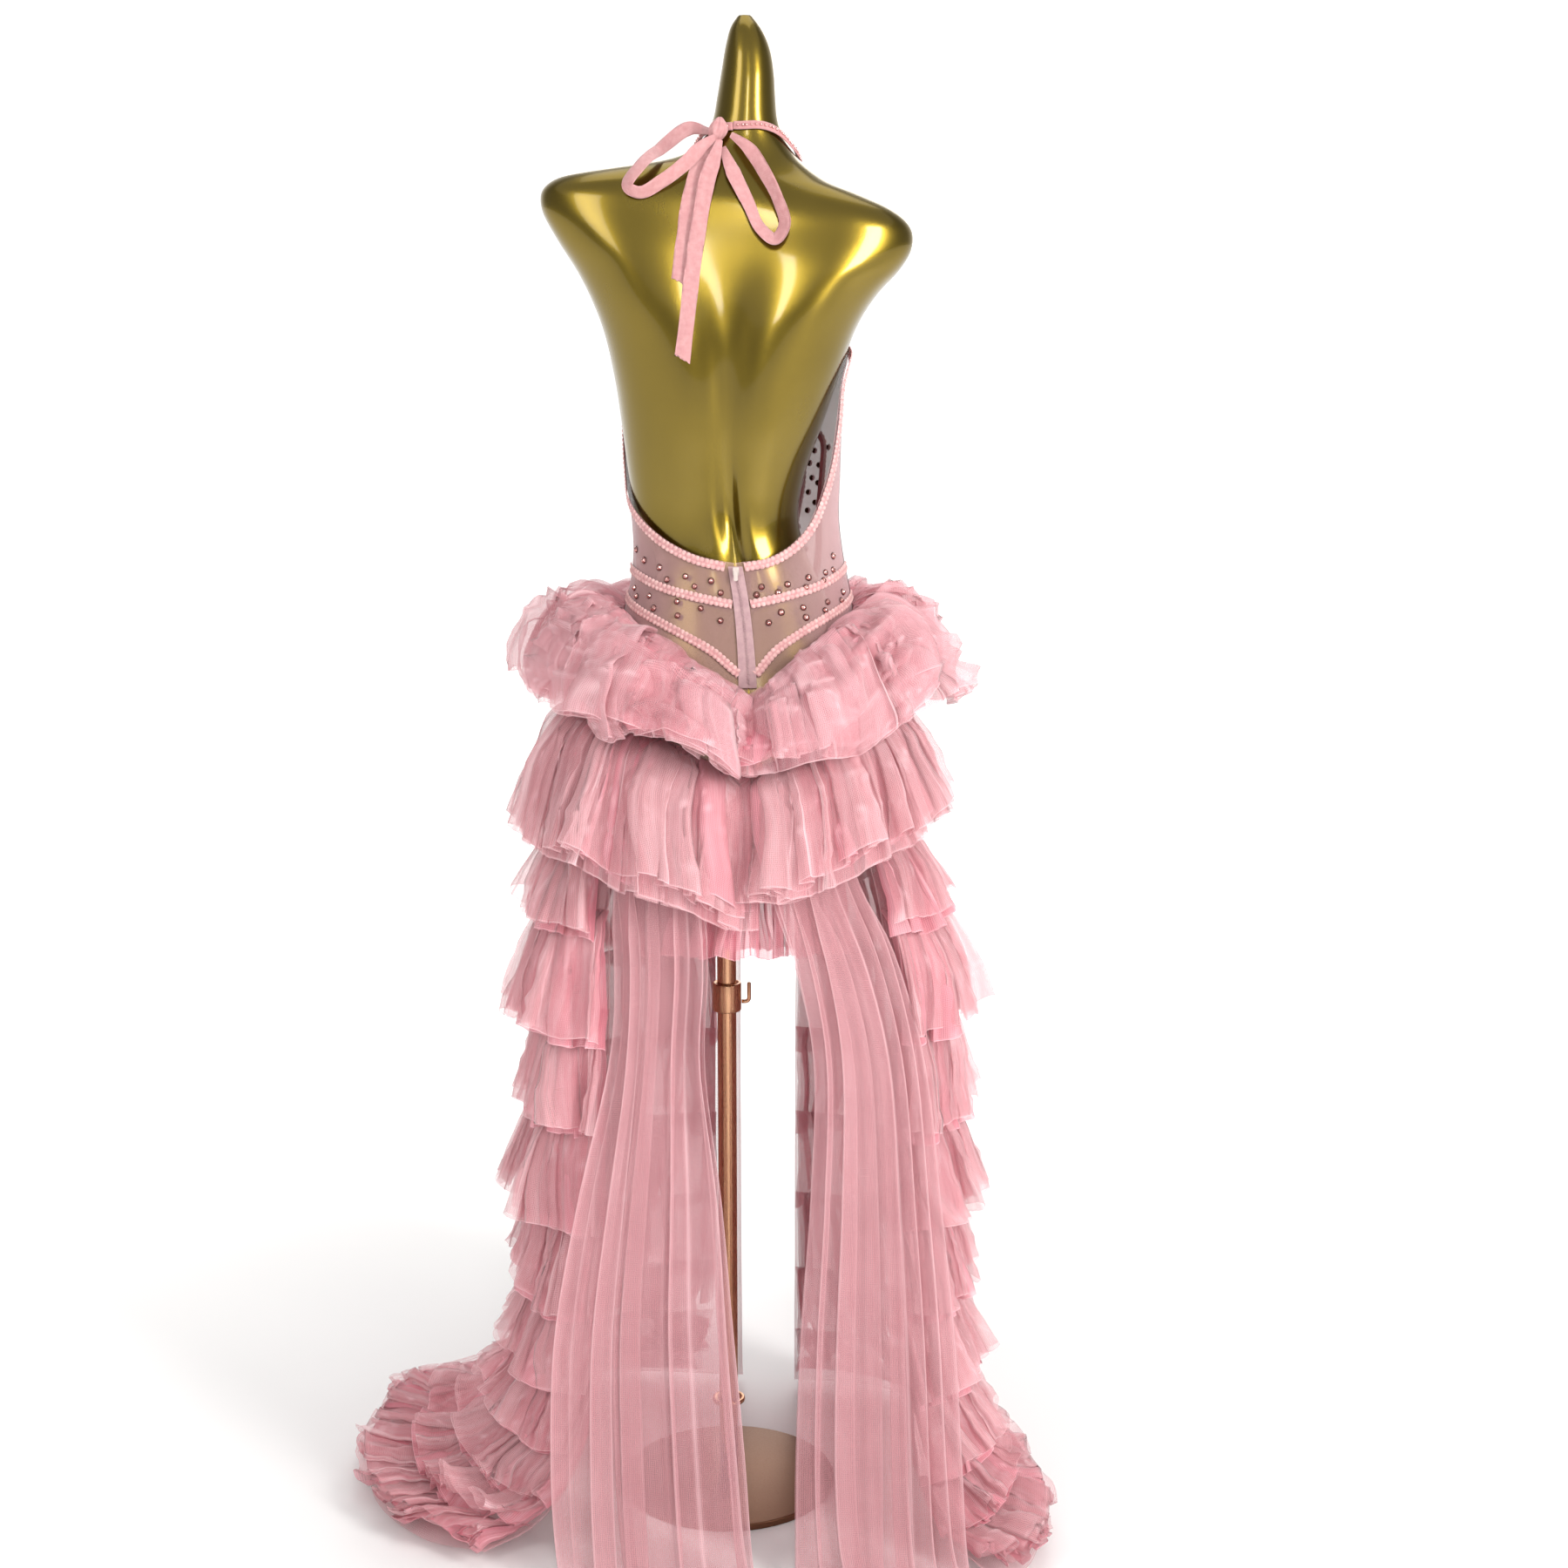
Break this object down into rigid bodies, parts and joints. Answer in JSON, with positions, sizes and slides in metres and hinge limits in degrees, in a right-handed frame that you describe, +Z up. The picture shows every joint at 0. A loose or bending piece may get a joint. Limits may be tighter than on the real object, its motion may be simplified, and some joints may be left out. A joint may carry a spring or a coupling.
{
  "type": "long party dress on a limbless dress form",
  "caption": "Backless halter party dress with ruffled hips, ruffled side trains and sheer back overlays, worn by a limbless dress form on a pole stand with a round base.",
  "frame": {"origin": "on the floor, at the middle of the underside of the stand's base", "axes": "+Z up; the dress's back faces -Y and its front +Y; +X is the wearer's right, which is the right of the picture"},
  "size_m": [0.7811, 0.7108, 1.611],
  "materials": {
    "gold": "glossy gold lacquer",
    "copper": "polished copper-coloured metal",
    "tulle": "sheer pink tulle",
    "net": "sheer mauve stretch net",
    "braid": "pale pink scalloped braid",
    "ribbon": "folded pink tulle ribbon",
    "zip_metal": "pale rose metal"
  },
  "bodies": {
    "dress_and_form": {"back_left": "net", "back_right": "net", "bow_knot": "ribbon", "bow_loop_left": "ribbon", "bow_loop_right": "ribbon", "bow_tail_long": "ribbon", "bow_tail_short": "ribbon", "dress_form": "gold", "front_bodice": "net", "hip_ruffle_mid_left": "tulle", "hip_ruffle_mid_right": "tulle", "hip_ruffle_top_left": "tulle", "hip_ruffle_top_right": "tulle", "low_braid_left": "braid", "low_braid_right": "braid", "mid_braid_left": "braid", "mid_braid_right": "braid", "neck_band": "braid", "neck_braid_left": "braid", "neck_braid_right": "braid", "overlay_left": "tulle", "overlay_right": "tulle", "short_skirt_back": "tulle", "stand_base": "copper", "stand_collar": "copper", "stand_pole": "copper", "stand_ring": "copper", "train_left_01": "tulle", "train_left_02": "tulle", "train_left_03": "tulle", "train_left_04": "tulle", "train_left_05": "tulle", "train_left_06": "tulle", "train_left_07": "tulle", "train_left_08": "tulle", "train_left_09": "tulle", "train_left_10": "tulle", "train_panel_left": "tulle", "train_panel_right": "tulle", "train_right_01": "tulle", "train_right_02": "tulle", "train_right_03": "tulle", "train_right_04": "tulle", "train_right_05": "tulle", "train_right_06": "tulle", "train_right_07": "tulle", "train_right_08": "tulle", "train_right_09": "tulle", "zip_slider": "zip_metal", "zip_tape": "net"},
    "zip_pull_tab": {"zip_pull": "zip_metal"},
    "clamp_handle": {"clamp_screw": "copper"}
  },
  "joints": [
    {"name": "zip_pull_hinge", "type": "hinge", "parent": "dress_and_form", "child": "zip_pull_tab", "pos_m": [0.01337, -0.07901, 1.0559], "axis": [-1, 0, 0], "range_deg": [0, 160]},
    {"name": "clamp_screw_turn", "type": "hinge", "parent": "dress_and_form", "child": "clamp_handle", "pos_m": [0.0163, 0, 0.57], "axis": [1, 0, 0], "range_deg": [0, 180]}
  ]
}
